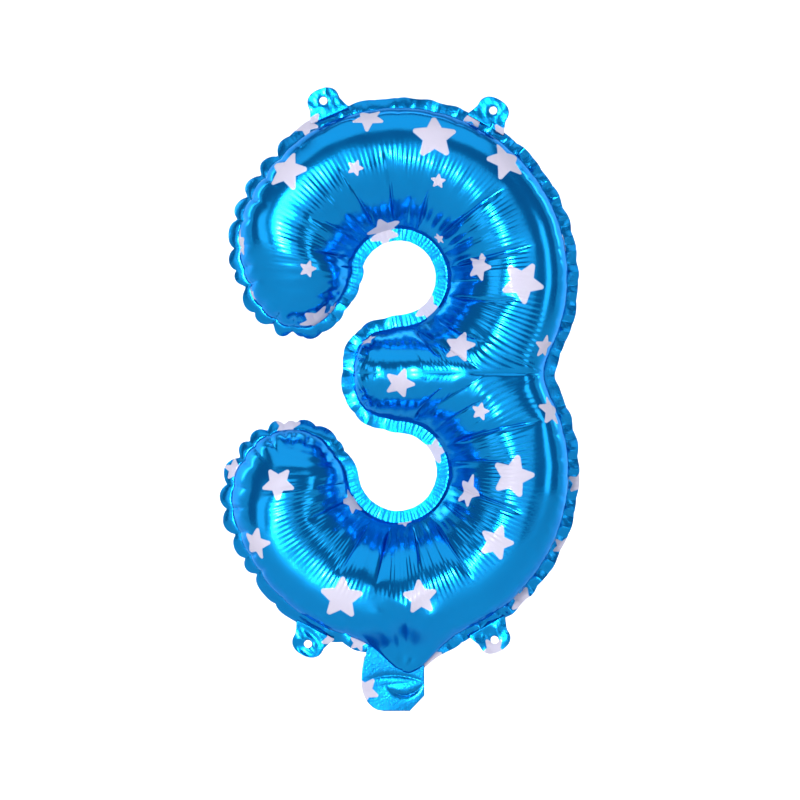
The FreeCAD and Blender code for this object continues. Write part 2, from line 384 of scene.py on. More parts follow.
# From, to, spacing, pull, groove, reach and width, and how far the spacing varies.
PINCH_RUNS = [
    (UPPER_TIP + [3, 0], on_upper(166), 12.5, 2.6, 1.8, 15, 2.4, 0.2),
    (on_upper(166), on_upper(131), 13.5, 2.3, 1.3, 13, 2.4, 0.25),
    (on_upper(131), on_upper(45), 15, 0.6, 0.5, 9, 2.0),
    (on_upper(45), on_upper(-29), 10, 0.6, 0.55, 9, 1.6),
    (on_lower(29), on_lower(-70), 11, 0.6, 0.55, 9, 1.8),
    (on_lower(-100), on_lower(-140), 15, 0.7, 0.6, 10, 2.0),
    (on_lower(-140), on_lower(-192), 12.5, 2.3, 1.5, 15, 2.3, 0.25),
    (on_lower(-192), LOWER_TIP, 10.5, 2.6, 2.0, 15, 2.4, 0.2),
    (LOWER_TIP, on_lower(163, LOWER_HOLE), 9, 1.2, 1.4, 13, 2.0),
    (on_upper(163, UPPER_HOLE), UPPER_TIP, 8, 1.0, 1.2, 11, 1.9),
    (on_upper(-90, UPPER_HOLE), on_upper(150, UPPER_HOLE), 6.5, 0.25, 0.5, 8, 1.2),
    (on_lower(-178, LOWER_HOLE), on_lower(90, LOWER_HOLE), 6.5, 0.25, 0.5, 8, 1.2),
    ((-12, ARM_Z - ARM_HALF), (-12, ARM_Z + ARM_HALF), 9.5, 0.9, 1.3, 13, 1.9),
]
SINGLE_PINCHES = [
    ((2, -146), 1.6, 0.6, 14, 2.2),
    ((-30, -129), 0.8, 1.0, 11, 2.0),
    ((31, -129), 0.8, 1.0, 11, 2.0),
]
pinches = [pinch for run in PINCH_RUNS for pinch in pinch_run(*run)]
pinches += [(nearest(point) * SEAM_UNIT, *amounts) for point, *amounts in SINGLE_PINCHES]

# Creases that fan out from each hole: inner angle, outer angle, reach radius, depth.
UPPER_CREASES = [(115, 119, 66, 1.2), (94, 96, 67, 1.4), (137, 147, 57, 1.2), (155, 164, 49, 1.0),
                 (68, 71, 51, 1.0), (44, 40, 73, 1.7), (11, 13, 73, 1.7), (-21, -11, 65, 1.3),
                 (-48, -38, 56, 1.1), (-72, -62, 50, 1.0), (28, 27, 47, 0.6), (81, 82, 44, 0.6),
                 (-5, -3, 47, 0.6), (126, 130, 44, 0.6)]
LOWER_CREASES = [(28, 20, 82, 2.0), (11, 5, 61, 1.3), (-14, -18, 70, 1.6), (-54, -55, 69, 1.5),
                 (-75, -78, 51, 1.0), (-97, -101, 61, 1.3), (-119, -121, 63, 1.3), (-149, -152, 54, 1.2),
                 (-34, -35, 50, 0.7), (48, 40, 62, 1.3), (72, 62, 52, 1.0), (-136, -138, 47, 0.7),
                 (-167, -170, 45, 0.8)]


def noise(points, wavelength, seed, terms=7):
    """Sum of a few seeded waves in space, about -1 to 1."""
    waves = np.random.default_rng(seed)
    total = np.zeros(points.shape[:-1])
    for _ in range(terms):
        direction = waves.normal(size=3)
        direction /= np.linalg.norm(direction)
        scale = 2 * np.pi / (wavelength * waves.uniform(0.7, 1.5))
        total += np.sin(points @ direction * scale + waves.uniform(0, 2 * np.pi))
    return total / math.sqrt(terms)


def seam_place(flat):
    """Nearest outline point of each point: its place along the weld and its distance."""
    tree = KDTree(OUTLINE_COUNT)
    for i, (x, z) in enumerate(outline):
        tree.insert((x, z, 0), i)
    tree.balance()
    place = np.zeros(len(flat))
    away = np.zeros(len(flat))
    for i, (x, z) in enumerate(flat):
        _, index, distance = tree.find((x, z, 0))
        place[i] = index * SEAM_UNIT
        away[i] = distance
    return place, away


def wrapped(distance):
    """Shortest way round the closed weld, with its sign."""
    return (distance + SEAM_LENGTH / 2) % SEAM_LENGTH - SEAM_LENGTH / 2


def pinch_amounts(place, away):
    """Inward pull in the seam plane and groove depth at places this far from the weld."""
    pull = np.zeros_like(place)
    groove = np.zeros_like(place)
    for at, draw, deep, reach, width in pinches:
        gap = np.abs(wrapped(place - at))
        fade = np.clip(1 - away / reach, 0, 1) ** 2
        pull += draw * np.exp(-gap / 3.2) * fade
        groove += deep * np.exp(-gap / (width * (0.5 + away / reach))) * fade
    return pull, groove


def crease_depth(flat, centre, hole, creases):
    """Depth of the radial creases of one bowl."""
    offset = flat - centre
    radius = np.linalg.norm(offset, axis=-1)
    angle = np.degrees(np.arctan2(offset[..., 1], offset[..., 0]))
    depth = np.zeros(radius.shape)
    for inner, outer, reach, deep in creases:
        share = np.clip((radius - hole) / (reach - hole), 0, 1.2)
        turn = (angle - (inner + (outer - inner) * share) + 180) % 360 - 180
        gap = np.abs(np.radians(turn)) * radius
        body = smoothstep(0.02, 0.25, share) * (1 - smoothstep(0.8, 1.08, share))
        depth += deep * body * (np.exp(-gap / 0.95) * 0.95 + np.exp(-(gap / 6.0) ** 2) * 0.45)
    return depth, radius, np.radians(angle)


# Ribs: waves per radian round a bowl's centre, depth, and radii where they start and end.
RIB_WAVES = 163
RIB_DEPTH = 0.115
RIB_START = (43, 50)
RIB_END = (64, 76)
FOLD_WAVES = (49, 27)
FOLD_DEPTH = 0.10
FOLD_START = (29, 36)
FOLD_END = (56, 76)
# Next to the waist the ribs turn towards the line where the bowls meet, and run further out.
WAIST_RIB_RADIUS = 76.0
WAIST_RIB_X = 62.0
WAIST_RIB_LEAN = 0.12
WAIST_RIB_SHARE = 0.5
WAIST_RIB_SPREAD = 26
WAIST_RIB_LONGER = (15, 12)

BOWLS = [
    {"strip": upper_strip, "centre": UPPER, "hole": UPPER_HOLE, "creases": UPPER_CREASES,
     "ribs_from": 182, "way": -1, "waist_turn": -34},
    {"strip": lower_strip, "centre": LOWER, "hole": LOWER_HOLE, "creases": LOWER_CREASES,
     "ribs_from": -180, "way": 1, "waist_turn": 36},
]


def corrugation(radius, angle, grid, bowl, seed):
    """Fine ribs across the inner slope, where the short side of the film is gathered."""
    level = grid[..., 2] - bowl["centre"][1] + WAIST_RIB_LEAN * (grid[..., 0] - WAIST_RIB_X)
    beside = (1 - smoothstep(2, 30, np.abs(grid[..., 2] - ARM_Z))) * smoothstep(25, 45, grid[..., 0])
    phase = angle + (level / WAIST_RIB_RADIUS - angle) * (beside * WAIST_RIB_SHARE)
    at_waist = np.exp(-((np.degrees(angle) - bowl["waist_turn"]) / WAIST_RIB_SPREAD) ** 2)
    fading, bare = (end + longer * at_waist for end, longer in zip(RIB_END, WAIST_RIB_LONGER))
    gather = smoothstep(*RIB_START, radius) * (1 - smoothstep(fading, bare, radius))
    turn = (np.degrees(angle) - bowl["ribs_from"]) * bowl["way"] % 360
    turn = turn - 360 * (turn > 320)
    gather *= smoothstep(0, 22, turn + 6 * noise(grid, 20, seed + 2))
    patchy = 0.75 + 0.35 * noise(grid, 30, seed)
    drift = 0.7 * noise(np.stack([np.cos(angle), np.sin(angle), 0 * angle], axis=-1) * 40, 18, seed + 1)
    ribs = np.sin(phase * RIB_WAVES + 2 * drift) * RIB_DEPTH
    folds = np.sin(angle * FOLD_WAVES[0] + 2 * drift + 1.0) * FOLD_DEPTH
    folds = folds + np.sin(angle * FOLD_WAVES[1] - 2 * drift) * FOLD_DEPTH
    near = smoothstep(*FOLD_START, radius) * (1 - smoothstep(*FOLD_END, radius))
    return gather * patchy * ribs + near * folds


def grid_normals(grid):
    """Unit normals of a surface given as a grid of points."""
    along = np.gradient(grid, axis=0)
    down = np.gradient(grid, axis=1)
    normal = np.cross(along, down)
    return normal / np.maximum(np.linalg.norm(normal, axis=-1, keepdims=True), 1e-9)


WAIST_SHOULDER = 26.0
WAIST_FULLNESS = 0.985
WAIST_NEAR = 8.0
WAIST_FAR = 23.0
GLUE_GROOVE = 0.9
GLUE_WIDTH = 0.8
GLUE_INNER_END = (36, 41)
POINT_GAP = 0.3


def fill_waist(height, flat, away):
    """Round off the valley between the bowls close to the waist, and cut the fold line that runs in from it.

    away is measured to outline points that stand a little apart, which POINT_GAP makes up for.
    """
    inside = np.sqrt(np.maximum(away ** 2 - POINT_GAP ** 2, 0))
    rim = np.clip(1 - inside / WAIST_SHOULDER, 0, 1)
    shoulder = FULL_HEIGHT * WAIST_FULLNESS * (1 - rim ** SHOULDER) ** (1 / SHOULDER)
    near = 1 - smoothstep(WAIST_NEAR, WAIST_FAR, np.linalg.norm(flat - WAIST, axis=-1))
    filled = height + np.maximum(shoulder - height, 0) * near
    x = flat[..., 0]
    run = smoothstep(1.0, 4.0, away) * smoothstep(*GLUE_INNER_END, x) * (x < WAIST[0] + 3)
    return filled - GLUE_GROOVE * run * np.exp(-np.abs(flat[..., 1] - ARM_Z) / GLUE_WIDTH)


NECK_X = -1.0
NECK_HALF = 25.0
NECK_TOP = -116.0
NECK_LOW = -141.0
NECK_THINNING = 0.74


def thin_neck(grid, flat):
    """Flatten the skin towards the tail."""
    across = np.exp(-((flat[..., 0] - NECK_X) / NECK_HALF) ** 4)
    grid[..., 1] *= 1 - NECK_THINNING * across * smoothstep(NECK_TOP, NECK_LOW, flat[..., 1])


NOTCH_X = 1.5
NOTCH_LEAN = 0.06
NOTCH_TOP = -105.0
NOTCH_HALF = 2.2
NOTCH_WIDEN = 0.30
NOTCH_REACH = 32.0
NOTCH_DEPTH = 0.45


def cut_notch(skin, flat, away):
    """Valley that runs up from the middle of the point above the tail."""
    lean = np.abs(flat[..., 0] - NOTCH_X - NOTCH_LEAN * away)
    half = NOTCH_HALF + NOTCH_WIDEN * away
    valley = np.exp(-(lean / half) ** 2) * (flat[..., 1] < NOTCH_TOP)
    skin[..., 1] *= 1 - NOTCH_DEPTH * valley * (1 - smoothstep(0.3, 1.0, away / NOTCH_REACH))


PINCH_PULL = 0.9
BACK_SHIFT = 4.3
FRONT_SEED = 5
BACK_SEED = 71
BROAD_WAVES = (42, 0.30)
SMALL_WAVES = (15, 0.05)


def lay_skin(bowl, front):
    """One bowl of a panel with its pinches, creases and ribs. front is 1, or -1 for the back."""
    grid = lay_grid(bowl["strip"])
    count, rows = grid.shape[:2]
    flat = grid[:, :, [0, 2]]
    place, away = seam_place(flat.reshape(-1, 2))
    index = (place / SEAM_UNIT).round().astype(int) % OUTLINE_COUNT
    outward = normals_out[index].reshape(count, rows, 2)
    shift = 0 if front > 0 else BACK_SHIFT
    pull, _ = pinch_amounts(place, away)
    _, groove = pinch_amounts((place + shift) % SEAM_LENGTH, away)
    pull, groove, away = (values.reshape(count, rows) for values in (pull, groove, away))
    grid[..., 1] = -fill_waist(-grid[..., 1], flat, away)
    thin_neck(grid, flat)
    normal = grid_normals(grid)
    normal *= np.where(normal[..., 1:2].mean() > 0, -1, 1)
    off_seam = smoothstep(0.0, 3.5, away)
    depth, radius, angle = crease_depth(flat, bowl["centre"], bowl["hole"], bowl["creases"])

    # Nothing may part the two halves where they meet, so the last rows past the waist stay smooth.
    past = bowl["strip"]["past_waist"][:, None]
    last_rows = smoothstep(0.80, 0.99, np.linspace(0, 1, rows)[None, :])
    met = smoothstep(-8, 1, past)
    on_arm = smoothstep(JOIN_RUN, JOIN_RUN + 14, past)
    free = 1 - met * last_rows
    smooth_free = 1 - met * (1 - on_arm) * last_rows

    seed = FRONT_SEED if front > 0 else BACK_SEED
    lift = corrugation(radius, angle, grid, bowl, seed) * free
    lift -= depth * free
    lift -= groove * off_seam * free
    lift += noise(grid, BROAD_WAVES[0], seed + 9) * BROAD_WAVES[1] * smooth_free
    lift += noise(grid, SMALL_WAVES[0], seed + 17) * SMALL_WAVES[1] * smooth_free
    skin = grid + normal * (lift * off_seam)[..., None]
    pull = pull * (1 - smoothstep(-3, 1, past) * last_rows)
    skin[..., 0] -= outward[..., 0] * pull * PINCH_PULL
    skin[..., 2] -= outward[..., 1] * pull * PINCH_PULL
    cut_notch(skin, flat, away)
    skin[..., 1] = np.minimum(skin[..., 1], 0.0) * front
    return skin


# ---- meshes
def add_mesh(name, verts, faces, uvs=None, smooth=True):
    """Mesh object from points in millimetres and four-sided faces."""
    mesh = bpy.data.meshes.new(name)
    mesh.vertices.add(len(verts))
    mesh.vertices.foreach_set("co", (verts * MM).astype(np.float32).reshape(-1))
    mesh.loops.add(faces.size)
    mesh.loops.foreach_set("vertex_index", faces.reshape(-1).astype(np.int32))
    mesh.polygons.add(len(faces))
    mesh.polygons.foreach_set("loop_start", np.arange(0, faces.size, 4, dtype=np.int32))
    mesh.update(calc_edges=True)
    mesh.validate()
    mesh.polygons.foreach_set("use_smooth", np.full(len(faces), smooth))
    if uvs is not None:
        layer = mesh.uv_layers.new(name="star")
        layer.data.foreach_set("uv", uvs.astype(np.float32).reshape(-1))
    obj = bpy.data.objects.new(name, mesh)
    bpy.context.scene.collection.objects.link(obj)
    return obj


STAR_FIELD = 2.5
NO_STAR = 4.0


def star_uv(verts, faces, normals, stars):
    """Place of every face corner in the frame of the star that the face is nearest to, in star radii."""
    centres = verts[faces].mean(axis=1)
    middles, frames, radii = [], [], []
    for x, z, radius, turn in stars:
        gap = (verts[:, 0] - x) ** 2 + (verts[:, 2] - z) ** 2
        at = int(np.argmin(gap))
        out = normals[at] / np.linalg.norm(normals[at])
        up = np.array([math.sin(math.radians(turn)), 0, math.cos(math.radians(turn))])
        up = up - out * (up @ out)
        up /= np.linalg.norm(up)
        middles.append(verts[at])
        frames.append((np.cross(up, out), up))
        radii.append(radius)
    middles, frames, radii = np.array(middles), np.array(frames), np.array(radii)
    best = np.full(len(faces), 1e9)
    choice = np.zeros(len(faces), int)
    for k in range(len(stars)):
        gap = np.linalg.norm(centres - middles[k], axis=1) / radii[k]
        nearer = gap < best
        best[nearer], choice[nearer] = gap[nearer], k
    corner = verts[faces] - middles[choice][:, None, :]
    uv = np.einsum("fcx,fkx->fck", corner, frames[choice]) / radii[choice][:, None, None]
    uv[best > STAR_FIELD] = NO_STAR
    return uv


def grid_faces(count, rows, wrap=False):
    """Faces between neighbouring points of a grid. wrap joins its last line to its first."""
    line = np.arange(count if wrap else count - 1)[:, None]
    down = np.arange(rows - 1)[None, :]
    a = line * rows + down
    b = (line + 1) % count * rows + down
    return np.stack([a, b, b + 1, a + 1], axis=-1).reshape(-1, 4)


def panel_mesh(name, front, stars):
    """Both halves of a panel, joined along the line from the waist to the arm's tip."""
    parts, faces, start = [], [], 0
    for bowl in BOWLS:
        skin = lay_skin(bowl, front)
        count, rows = skin.shape[:2]
        parts.append(skin.reshape(-1, 3))
        faces.append(grid_faces(count, rows) + start)
        start += count * rows
    verts, faces = np.vstack(parts), np.vstack(faces)
    corner = verts[faces]
    face_normal = np.cross(corner[:, 2] - corner[:, 0], corner[:, 3] - corner[:, 1])
    wrong = face_normal[:, 1] * front > 0
    faces[wrong] = faces[wrong][:, ::-1]
    face_normal[wrong] *= -1
    vert_normal = np.zeros_like(verts)
    for k in range(4):
        np.add.at(vert_normal, faces[:, k], face_normal)
    vert_normal /= np.maximum(np.linalg.norm(vert_normal, axis=1, keepdims=True), 1e-9)
    return add_mesh(name, verts, faces, star_uv(verts, faces, vert_normal, stars))


def sheet_mesh(name, grid, thickness, wrap, stars, smooth=True):
    """Thin closed sheet from its middle surface, a grid of points."""
    count, rows = grid.shape[:2]
    if wrap:
        padded = np.concatenate([grid[-1:], grid, grid[:1]])
        normal = grid_normals(padded)[1:-1]
    else:
        normal = grid_normals(grid)
    half = normal * thickness / 2
    verts = np.concatenate([(grid + half).reshape(-1, 3), (grid - half).reshape(-1, 3)])
    quads = grid_faces(count, rows, wrap)
    size = count * rows
    faces = [quads, quads[:, ::-1] + size]
    line = np.arange(count)
    after = (line + 1) % count
    if not wrap:
        line, after = line[:-1], after[:-1]
    rims = [(line * rows + row, after * rows + row, flip) for row, flip in ((0, 1), (rows - 1, -1))]
    if not wrap:
        down = np.arange(rows - 1)
        sides = ((0, -1), ((count - 1) * rows, 1))
        rims += [(side + down, side + down + 1, flip) for side, flip in sides]
    for a, b, flip in rims:
        faces.append(np.stack([a, a + size, b + size, b], axis=-1)[:, ::flip])
    faces = np.vstack(faces)
    frontal = np.tile([0.0, -1.0, 0.0], (len(verts), 1))
    uv = star_uv(verts, faces, frontal, stars) if stars else None
    return add_mesh(name, verts, faces, uv, smooth)


# Printed stars on the front: x, z, radius in mm and turn in degrees.
FRONT_STARS = [
    (-17.3, 152.6, 8.8, 180), (-61.3, 124.0, 11.0, 12), (-23.9, 125.1, 4.4, 20), (-87.2, 85.5, 7.7, 10),
    (-49.8, 70.7, 4.7, 15), (-8.8, 94.3, 9.9, 25), (-50.5, 147.5, 7.5, 30), (19.0, 142.7, 12.1, 0),
    (57.2, 129.5, 11.0, -10), (39.5, 153.0, 7.5, 30), (20.6, 118.3, 4.1, 10), (21.7, 88.8, 3.3, 0),
    (43.2, 72.3, 7.7, 25), (66.3, 63.5, 11.6, 175), (89.9, 87.2, 7.5, 10), (32.2, 28.9, 8.8, 10),
    (78.9, 28.9, 6.5, 0), (43.2, -6.1, 5.0, 15), (81.7, -6.1, 8.3, 10), (-0.3, 9.1, 8.3, 20),
    (-81.1, 58.0, 4.1, 0), (-45.9, 44.3, 9.5, 15), (-17.6, 32.7, 4.4, 0), (-66.0, -44.8, 9.1, 180),
    (-78.4, -77.6, 8.8, 20), (-26.7, -56.4, 7.2, -15), (-31.6, -106.7, 11.6, 4), (2.5, -66.8, 3.9, 10),
    (61.3, -41.5, 11.6, 15), (37.7, -50.9, 7.4, 30), (52.5, -77.3, 9.4, 20), (10.7, -106.7, 9.4, -6),
    (88.6, -82.5, 6.5, 0), (-37.1, 49.6, 4.2, 0),
]
# Stars that fall on the welded margin, the tabs and the tail.
MARGIN_STARS = [
    (15.1, 50.3, 7.5, 20), (-62.4, -13.5, 7.5, 10), (-91.0, -38.2, 6.0, 0), (19.0, -28.3, 7.0, 10),
    (98.6, -45.9, 6.5, 12), (90.5, -81.1, 5.5, 30), (67.5, -110.5, 7.5, 15), (15.7, -141.0, 7.5, 0),
    (-23.1, -133.5, 5.0, 15), (-8.8, 91.5, 8.0, 25), (-52.0, 151.5, 7.0, 30), (41.5, 156.5, 7.0, 30),
]
TAIL_STARS = [(-19.5, -159.8, 8.0, 40)]
TAB_STARS = [(51.5, -137.5, 7.0, 180)]


def scattered_stars(count, seed):
    """Stars spread over the back panel, each as far from the others as a few tries allow."""
    picks = np.random.default_rng(seed)
    grids = [lay_grid(strip)[:, :, [0, 2]].reshape(-1, 2) for strip in (upper_strip, lower_strip)]
    field = np.vstack(grids)
    places = [field[0]]
    for _ in range(count):
        tries = field[picks.integers(0, len(field), 60)]
        gaps = np.min(np.linalg.norm(tries[:, None] - np.array(places)[None], axis=2), axis=1)
        places.append(tries[np.argmax(gaps)])
    radii = picks.choice([4.5, 7.8, 9.0, 11.4], size=len(places))
    return [(x, z, r, picks.uniform(0, 72)) for (x, z), r in zip(places, radii)]


# ---- welded margin
MARGIN = 6.5
MARGIN_ROWS = 14
MARGIN_THICK = 0.35
MARGIN_LEAST = 0.8
WELD_OVERLAP = 0.6
SLACK_CURL = 0.9
PUFF_CURL = 3.4
# Zigzags: distance between corners, height and seed.
CRACKLE = (5.2, 2.1, 3)
FINE_CRACKLE = (2.9, 0.4, 8)
TICKS = (2.3, 0.10, 12)


def beside_hole(centre, hole):
    return np.linalg.norm(outline - centre, axis=1) < hole + 3


def margin_grid():
    """Middle surface of the flat weld round the whole outline, holes included.

    It is taut round the holes, slack elsewhere, and puffed up and drawn in by its pinches on the left.
    """
    x, z = outline.T
    place = np.arange(OUTLINE_COUNT) * SEAM_UNIT
    pull, _ = pinch_amounts(place, np.zeros(OUTLINE_COUNT))
    pinched = np.clip(pull / 2.0, 0, 1)
    on_holes = beside_hole(UPPER, UPPER_HOLE) | beside_hole(LOWER, LOWER_HOLE)
    taut = smooth_closed((on_holes * 1.0)[:, None], 4)[:, 0]
    slack = 1 - 0.9 * taut
    puffy = smoothstep(-30, -52, x) * (1 - taut)

    at_lobe = np.exp(-((x - LOBE_X) / 20) ** 4) * (z < -110)
    width = MARGIN * (1 - 0.75 * at_lobe)
    width = width * (1 - 0.12 * slack * (0.5 + 0.5 * np.sin(place / 3.1 + 2 * np.sin(place / 17))))
    width = np.maximum(width - puffy * (2.6 * pinched - 0.6) - 0.2 * pull, MARGIN_LEAST)
    share = np.linspace(0, 1, MARGIN_ROWS)[None, :]
    run = -WELD_OVERLAP + (width[:, None] + WELD_OVERLAP) * share
    seam = outline - normals_out * (PINCH_PULL * pull)[:, None]
    flat = seam[:, None, :] + outline_normals(3.5)[:, None, :] * run[..., None]

    right = smoothstep(20, 60, x) + 0.5 * smoothstep(30, -60, x) * (1 - taut)
    slack = slack * (1 - 0.8 * np.exp(-(np.linalg.norm(outline - WAIST, axis=1) / 22) ** 4))
    crackle = facet(place, CRACKLE) * (0.25 + 0.85 * right) * slack * (1 - 0.8 * puffy)
    fine = facet(place + 1.7, FINE_CRACKLE) * FINE_CRACKLE[1] * slack * (1 - 0.7 * puffy)
    curl = noise(np.column_stack([outline, 0 * place]), 38, 21) * 0.6 * slack
    curl += puffy * (PUFF_CURL - 2.6 * pinched) + SLACK_CURL * slack
    ticks = np.abs(facet(place, TICKS)) * TICKS[1] * taut
    y = (crackle[:, None] * share * CRACKLE[1] + fine[:, None] * share * (1 - 0.3 * share)
         + curl[:, None] * share ** 2 * 1.2 + ticks[:, None] * (1 - share) * 2)
    y *= smoothstep(0.0, 0.2, share)
    return np.stack([flat[..., 0], y, flat[..., 1]], axis=-1)


def facet(place, zigzag):
    """Seeded zigzag along the weld, from -1 to 1."""
    period, _, seed = zigzag
    picks = np.random.default_rng(seed)
    count = int(SEAM_LENGTH / period)
    corners = (np.arange(count) + picks.uniform(-0.35, 0.35, count)) * SEAM_LENGTH / count
    levels = picks.uniform(0.35, 1.0, count) * np.where(np.arange(count) % 2, 1, -1)
    return np.interp(place % SEAM_LENGTH, corners, levels, period=SEAM_LENGTH)


# ---- tabs
TAB_TIP_HALF = 8.9
TAB_TIP_OVER = 6.8
TAB_HOLE = 2.2
TAB_RINGS = 12
TAB_TURNS = 120
TAB_ROOT_HALF = 12.0
TAB_ROOT_IN = 1.8
TAB_RIM = 0.35


def tab_outline(hole_out):
    """Outline round a tab's hole, in its own along and out directions, at even angles."""
    root = -hole_out - TAB_ROOT_IN
    cap = oval(np.zeros(2), TAB_TIP_HALF, TAB_TIP_OVER, 0, 180, 2.3)
    side = np.array([[TAB_ROOT_HALF, root], [TAB_ROOT_HALF * 0.86, root * 0.62], [TAB_TIP_HALF, root * 0.22]])
    line = np.vstack([side, cap, side[::-1] * [-1, 1], side[:1]])
    dense = resample(line, np.linspace(0, lengths(line)[-1], 900))
    angle = np.unwrap(np.arctan2(dense[:, 1], dense[:, 0]))
    radius = np.linalg.norm(dense, axis=1)
    turn = np.linspace(0, 2 * np.pi, TAB_TURNS, endpoint=False)
    reach = np.interp((turn - angle[0]) % (2 * np.pi) + angle[0], angle, radius)
    return turn, reach


def tab_piece(name, fold, hole, along, seed, crumple):
    """Tab with its hole, from the middle of its fold. Returns the piece, that middle and the way out."""
    fold, hole, along = np.array(fold), np.array(hole), np.array(along)
    out = hole - fold
    hole_out = float(np.linalg.norm(out))
    out = out / hole_out
    turn, reach = tab_outline(hole_out)
    ring = np.linspace(0, 1, TAB_RINGS)[None, :]
    radius = TAB_HOLE + (reach[:, None] - TAB_HOLE) * ring
    u = radius * np.cos(turn)[:, None]
    v = radius * np.sin(turn)[:, None]
    flat = hole + u[..., None] * along + v[..., None] * out
    spot = np.stack([u, v, 0 * u], axis=-1)
    y = noise(spot, 14, seed) * 0.5 * crumple + np.abs(noise(spot, 8, seed + 3)) * 0.45 * crumple
    y += TAB_RIM * np.exp(-((radius - TAB_HOLE) / 0.9) ** 2)
    y *= smoothstep(-hole_out - TAB_ROOT_IN, -hole_out + 3, v)
    y -= MARGIN_THICK
    grid = np.stack([flat[..., 0], y, flat[..., 1]], axis=-1)
    return sheet_mesh(name, grid, MARGIN_THICK, True, TAB_STARS), fold, out


# ---- tail
TAIL_X = -3.9
TAIL_HALF = 17.3
TAIL_TOP = -135.5
TAIL_BOTTOM = -171.0
TAIL_LEFT_CORNER = 17.0
TAIL_RIGHT_CORNER = 8.5
LAYER_THICK = 0.3
WELD_HALF = 1.4
WELD_IN = 2.4
WELD_THICK = 0.85
VALVE_HALF = 11.5
FILM_THICK = 0.15


def tail_sway(x, z):
    """How far the tail's stack stands from the seam plane: a wave and three pressed folds."""
    low = smoothstep(-142, -160, z)
    spot = np.stack([x, 0 * x, z], axis=-1)
    sway = noise(spot, 26, 61) * 0.55 * low
    crescent = z - (-162.5 + 0.055 * (x - 2.5) ** 2)
    sway += np.exp(-np.abs(crescent) / 1.1) * np.exp(-((x - 3) / 8) ** 4) * 1.9
    fold = z - (-151.5 - 0.012 * (x + 4) ** 2)
    sway += np.exp(-np.abs(fold) / 1.2) * 0.9 * np.exp(-((x + 2) / 14) ** 4)
    sway += np.exp(-np.abs(z + 156 - 0.10 * x) / 1.3) * 0.35 * np.exp(-((x + 1) / 10) ** 4)
    return sway


def tail_grid(half, top, bottom, shift, rounded, cols=64, rows=64, centre=TAIL_X):
    """Middle surface of one sheet of the tail. shift is its place in the stack, towards the back."""
    u = np.linspace(-1, 1, cols)[:, None]
    v = np.linspace(0, 1, rows)[None, :]
    z = top + (bottom - top) * v + 0 * u
    left, right = half, half
    if rounded:
        drop = np.clip((z - (bottom + TAIL_LEFT_CORNER)) / -TAIL_LEFT_CORNER, 0, 1)
        left = half * (1 - 0.72 * (1 - np.sqrt(np.clip(1 - drop ** 2.2, 0, 1))))
        chamfer = np.clip((z - (bottom + TAIL_RIGHT_CORNER)) / -TAIL_RIGHT_CORNER, 0, 1)
        right = half - 8.0 * chamfer
        neck = np.exp(-((z - top) / 9) ** 2)
        left = left - 3.0 * neck
    x = centre + np.where(u < 0, u * left, u * right) + 0 * z
    return np.stack([x, shift + tail_sway(x, z), z], axis=-1)


# ---- materials
def linear(colour):
    """Linear colour of a screen colour in hexadecimal."""
    value = np.array([int(colour[k:k + 2], 16) for k in (0, 2, 4)]) / 255
    return tuple(np.where(value <= 0.04045, value / 12.92, ((value + 0.055) / 1.055) ** 2.4)) + (1.0,)


def darker(colour, share):
    return tuple(np.array(colour) * share)[:3] + (1.0,)


class Nodes:
    """Small helper for wiring a material."""

    def __init__(self, name):
        self.material = bpy.data.materials.new(name)
        self.material.use_nodes = True
        self.tree = self.material.node_tree
        self.shader = self.tree.nodes["Principled BSDF"]

    def add(self, kind, **settings):
        node = self.tree.nodes.new(kind)
        for key, value in settings.items():
            setattr(node, key, value)
        return node

    def put(self, node, values):
        """Set or link inputs of a node, by their names or numbers."""
        for key, value in values.items():
            if isinstance(value, bpy.types.NodeSocket):
                self.tree.links.new(value, node.inputs[key])
            else:
                node.inputs[key].default_value = value
        return node

    def math(self, operation, *values):
        node = self.add("ShaderNodeMath", operation=operation)
        return self.put(node, dict(enumerate(values))).outputs[0]

    def noise(self, vector, scale, detail=3.0):
        node = self.add("ShaderNodeTexNoise")
        return self.put(node, {"Vector": vector, "Scale": scale, "Detail": detail}).outputs["Fac"]

    def mix(self, share, first, second):
        node = self.add("ShaderNodeMix", data_type="RGBA")
        return self.put(node, {"Factor": share, "A": first, "B": second}).outputs["Result"]


STAR_INNER = 0.47
STAR_ROUND = 0.12
STAR_EDGE = 0.035


